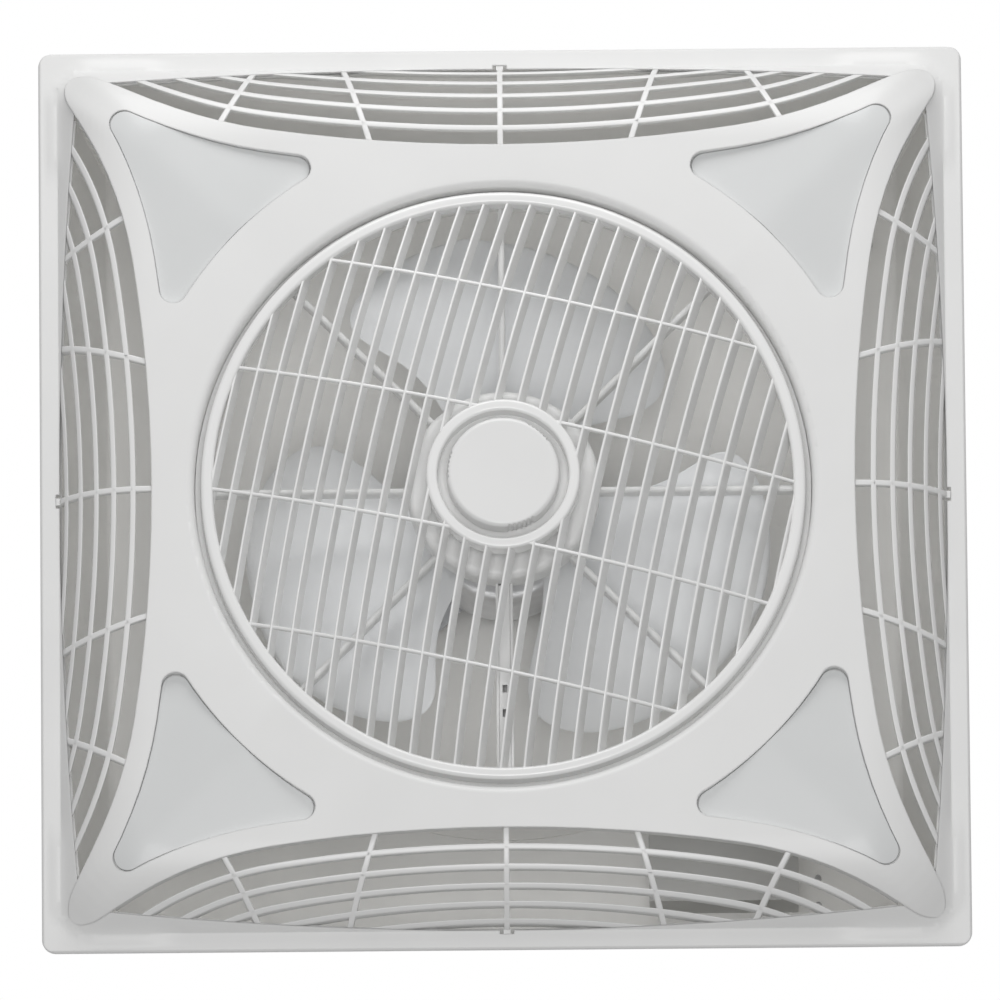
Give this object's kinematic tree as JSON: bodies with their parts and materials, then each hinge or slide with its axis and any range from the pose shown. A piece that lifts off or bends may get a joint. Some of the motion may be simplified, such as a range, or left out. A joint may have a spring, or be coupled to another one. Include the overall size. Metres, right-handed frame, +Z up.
{
  "type": "recessed ceiling tile fan",
  "caption": "Square recessed ceiling fan: a rounded panel with side intake grilles, corner inserts, a turning domed louvre over the blades and a boxed housing behind.",
  "frame": {"origin": "centre of the panel on the plane of its rim face, which rests on the ceiling grid", "axes": "+Z up into the ceiling along the fan axis; the face looks down along -Z; the arm that carries the lead lies along +Y"},
  "size_m": [0.595, 0.595, 0.2261],
  "materials": {
    "panel": "white moulded plastic, satin gloss",
    "grille": "white moulded plastic, satin gloss",
    "insert": "pale silver blue plastic, satin",
    "duct": "light grey moulded plastic",
    "spider": "white moulded plastic",
    "louvre": "white moulded plastic, satin gloss",
    "cap": "white moulded plastic, satin gloss",
    "blades": "pale grey blue moulded plastic",
    "nut": "dark moulded plastic",
    "motor_case": "zinc plated sheet steel",
    "steel": "bright steel",
    "core": "stacked electrical sheet",
    "copper": "varnished copper wire",
    "plate": "zinc plated sheet steel",
    "rubber_bush": "black rubber",
    "housing": "light grey moulded plastic",
    "box_plastic": "pale flame resistant plastic",
    "board": "green board with parts",
    "terminal": "ivory moulded plastic",
    "capacitor": "white plastic can",
    "gland": "dark moulded plastic"
  },
  "bodies": {
    "root": {"front_panel": "panel", "intake_grille_east": "grille", "intake_grille_north": "grille", "intake_grille_west": "grille", "intake_grille_south": "grille", "corner_insert_ne": "insert", "corner_insert_nw": "insert", "corner_insert_sw": "insert", "corner_insert_se": "insert", "fan_duct": "duct", "spider_frame": "spider", "channel_cover": "spider", "cup_cover": "spider", "louvre_motor": "motor_case", "motor_stator": "core", "motor_windings": "copper", "motor_case_lower": "motor_case", "motor_case_upper": "motor_case", "bearing_lower": "steel", "bearing_upper": "steel", "motor_bracket": "plate", "motor_bushes": "rubber_bush", "motor_screws": "steel", "rear_housing": "housing", "control_box": "box_plastic", "control_box_cover": "box_plastic", "circuit_board": "board", "terminal_block": "terminal", "run_capacitor": "capacitor", "capacitor_strap": "plate", "cable_gland": "gland", "hanger_bracket_ne": "plate", "hanger_bracket_nw": "plate", "hanger_bracket_sw": "plate", "hanger_bracket_se": "plate", "hanger_screws": "steel", "housing_screws": "steel", "spider_screws": "steel"},
    "impeller": {"impeller": "blades", "blade_nut": "nut", "motor_shaft": "steel", "motor_rotor": "core"},
    "louvre": {"louvre_rotor": "louvre", "louvre_cap": "cap", "louvre_shaft": "steel"}
  },
  "joints": [
    {"name": "blade_spin", "type": "hinge", "parent": "root", "child": "impeller", "pos_m": [0, 0, 0], "axis": [0, 0, 1], "continuous": true},
    {"name": "louvre_spin", "type": "hinge", "parent": "root", "child": "louvre", "pos_m": [0, 0, 0], "axis": [0, 0, 1], "continuous": true}
  ]
}
